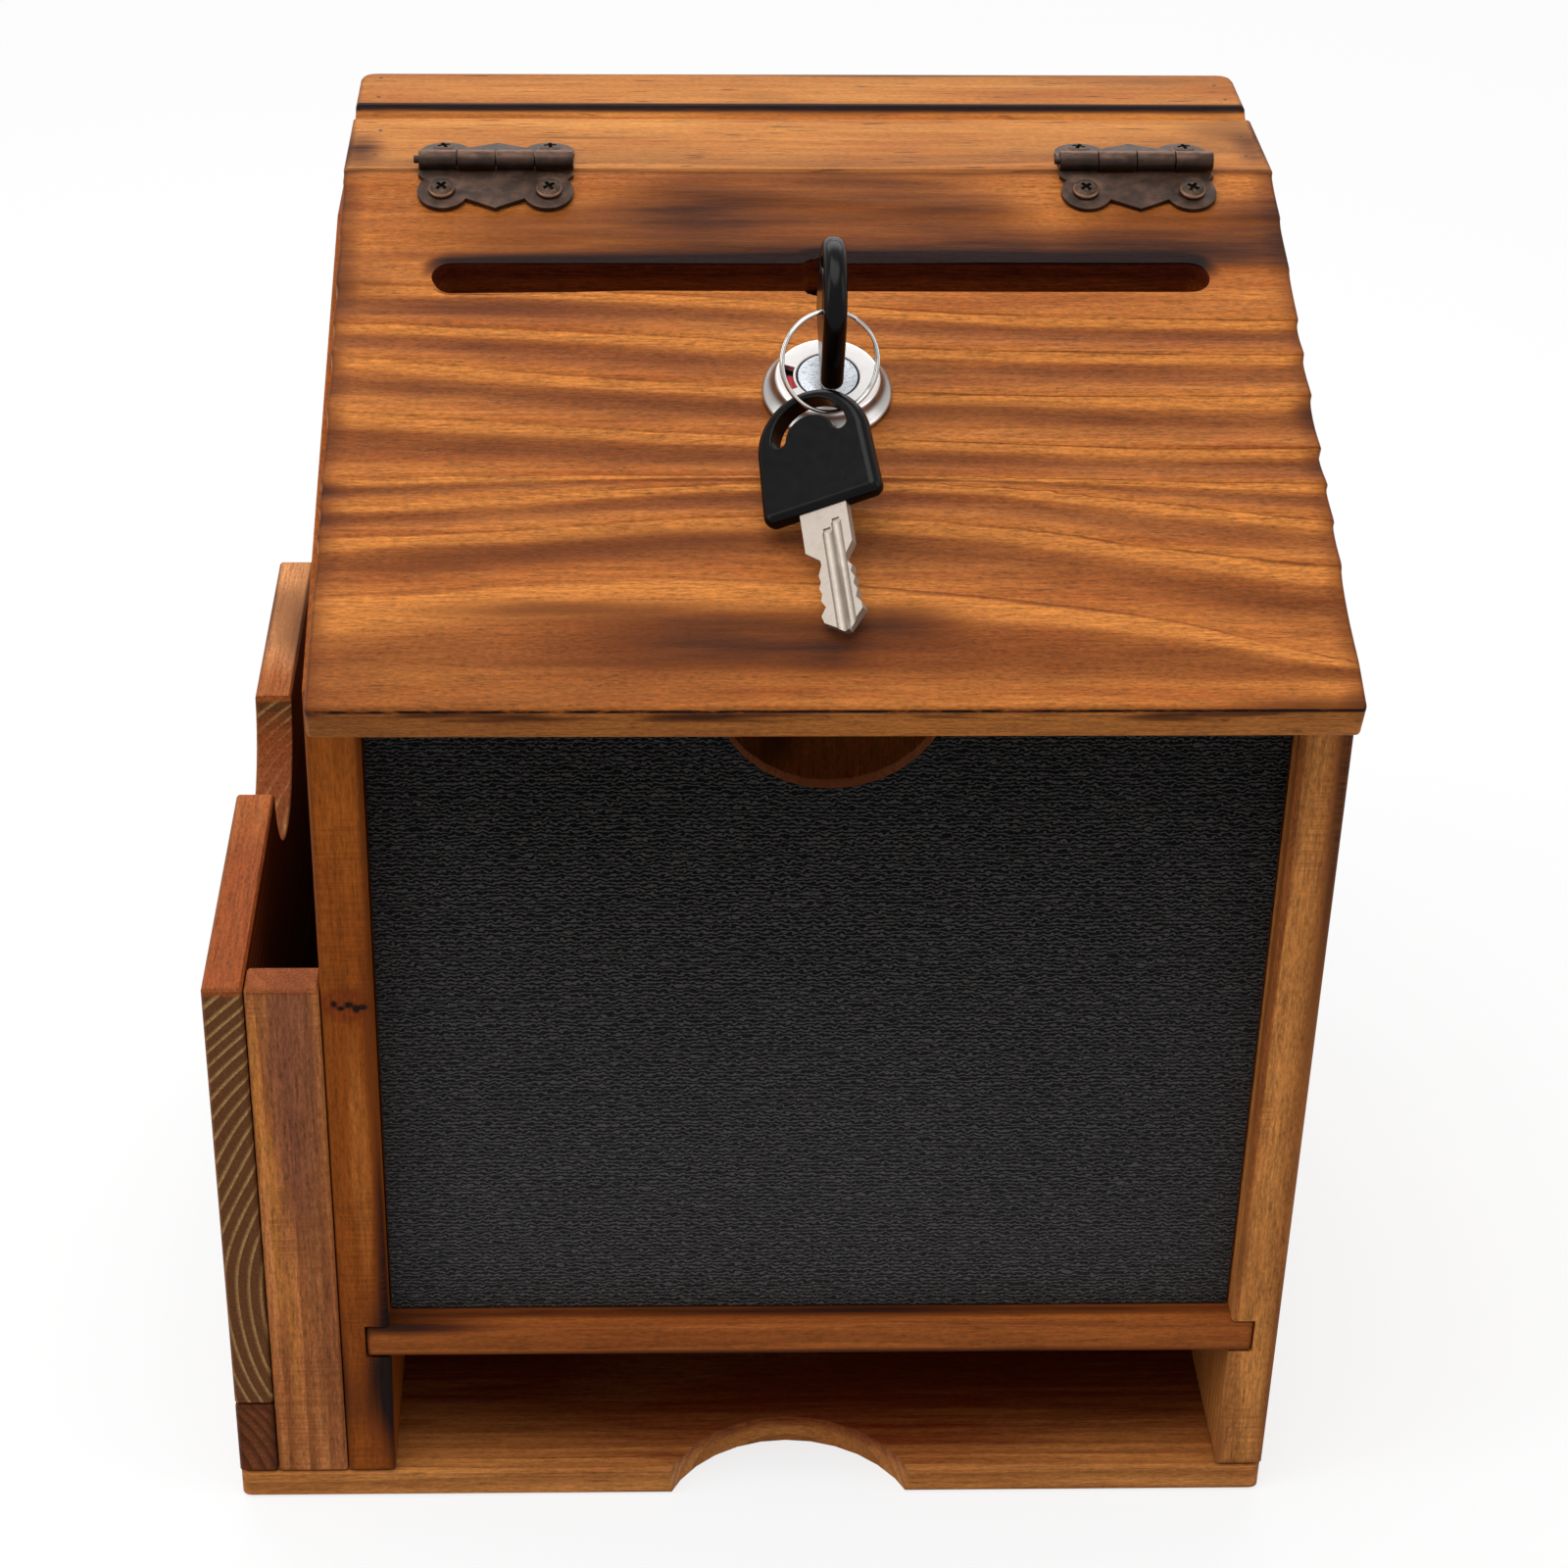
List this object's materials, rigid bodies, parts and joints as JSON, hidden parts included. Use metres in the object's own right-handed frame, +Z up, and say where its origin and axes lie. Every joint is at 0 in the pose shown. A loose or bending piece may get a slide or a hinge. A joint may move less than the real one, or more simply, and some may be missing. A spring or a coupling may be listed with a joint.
{
  "type": "suggestion box",
  "caption": "Wooden suggestion box with a sloping hinged lid, ballot slot, cam lock with keys, card tray and side pocket.",
  "frame": {"origin": "on the underside of the base, under the middle of the body between the side boards' outer faces and halfway from front to back", "axes": "+X to the viewer's right across the front, +Y to the back, +Z up; the pocket is on the -X side"},
  "size_m": [0.2058, 0.1812, 0.2508],
  "materials": {
    "scorched_wood": "brushed, torch-scorched softwood under satin oil",
    "dark_scorched_wood": "deeply scorched softwood under satin oil",
    "black_board": "thin fibreboard with a black grained face",
    "aged_bronze": "antique bronze plating, rubbed bright on the edges",
    "satin_chrome": "satin face and polished flange",
    "nickel_steel": "nickel-plated steel",
    "black_plastic": "smooth moulded plastic with rounded rims",
    "red_enamel": "plain red"
  },
  "bodies": {
    "box": {"base_board": "scorched_wood", "left_side_board": "scorched_wood", "right_side_board": "scorched_wood", "back_board": "scorched_wood", "compartment_shelf": "scorched_wood", "front_panel": "black_board", "top_board": "scorched_wood", "latch_rail": "scorched_wood", "pocket_panel": "scorched_wood", "pocket_panel_stave": "dark_scorched_wood", "pocket_front_wall": "scorched_wood", "pocket_back_wall": "scorched_wood", "left_hinge_leaf_top": "aged_bronze", "left_hinge_pin": "aged_bronze", "left_hinge_screw_top_a": "aged_bronze", "left_hinge_screw_top_b": "aged_bronze", "right_hinge_leaf_top": "aged_bronze", "right_hinge_pin": "aged_bronze", "right_hinge_screw_top_a": "aged_bronze", "right_hinge_screw_top_b": "aged_bronze"},
    "lid": {"lid_board": "scorched_wood", "left_hinge_leaf_lid": "aged_bronze", "left_hinge_screw_lid_a": "aged_bronze", "left_hinge_screw_lid_b": "aged_bronze", "right_hinge_leaf_lid": "aged_bronze", "right_hinge_screw_lid_a": "aged_bronze", "right_hinge_screw_lid_b": "aged_bronze", "lock_body": "satin_chrome", "lock_nut": "nickel_steel"},
    "lock_core": {"lock_plug": "nickel_steel", "lock_indicator": "red_enamel", "lock_cam": "nickel_steel", "cam_screw": "nickel_steel"},
    "key_1": {"key_1_head": "black_plastic", "key_1_blade": "nickel_steel"},
    "ring": {"key_ring": "nickel_steel"},
    "key_2": {"key_2_head": "black_plastic", "key_2_blade": "nickel_steel"}
  },
  "joints": [
    {"name": "lid_hinge", "type": "hinge", "parent": "box", "child": "lid", "pos_m": [0, 0.02904, 0.24099], "axis": [-1, 0, 0], "range_deg": [0, 160]},
    {"name": "lock_turn", "type": "hinge", "parent": "lid", "child": "lock_core", "pos_m": [0.001, -0.02859, 0.2217], "axis": [0, 0.3484, -0.9373], "range_deg": [0, 90]},
    {"name": "key_1_slide", "type": "slide", "parent": "lock_core", "child": "key_1", "axis": [0, -0.3484, 0.9373], "range_m": [0, 0.018]},
    {"name": "ring_swing", "type": "hinge", "parent": "key_1", "child": "ring", "pos_m": [0.001, -0.04184, 0.24014], "axis": [-1, 0, 0], "range_deg": [0, 60]},
    {"name": "key_2_swing", "type": "hinge", "parent": "ring", "child": "key_2", "pos_m": [-0.00211, -0.04884, 0.22428], "axis": [-0.9332, -0.1176, 0.3394], "range_deg": [0, 40]}
  ]
}
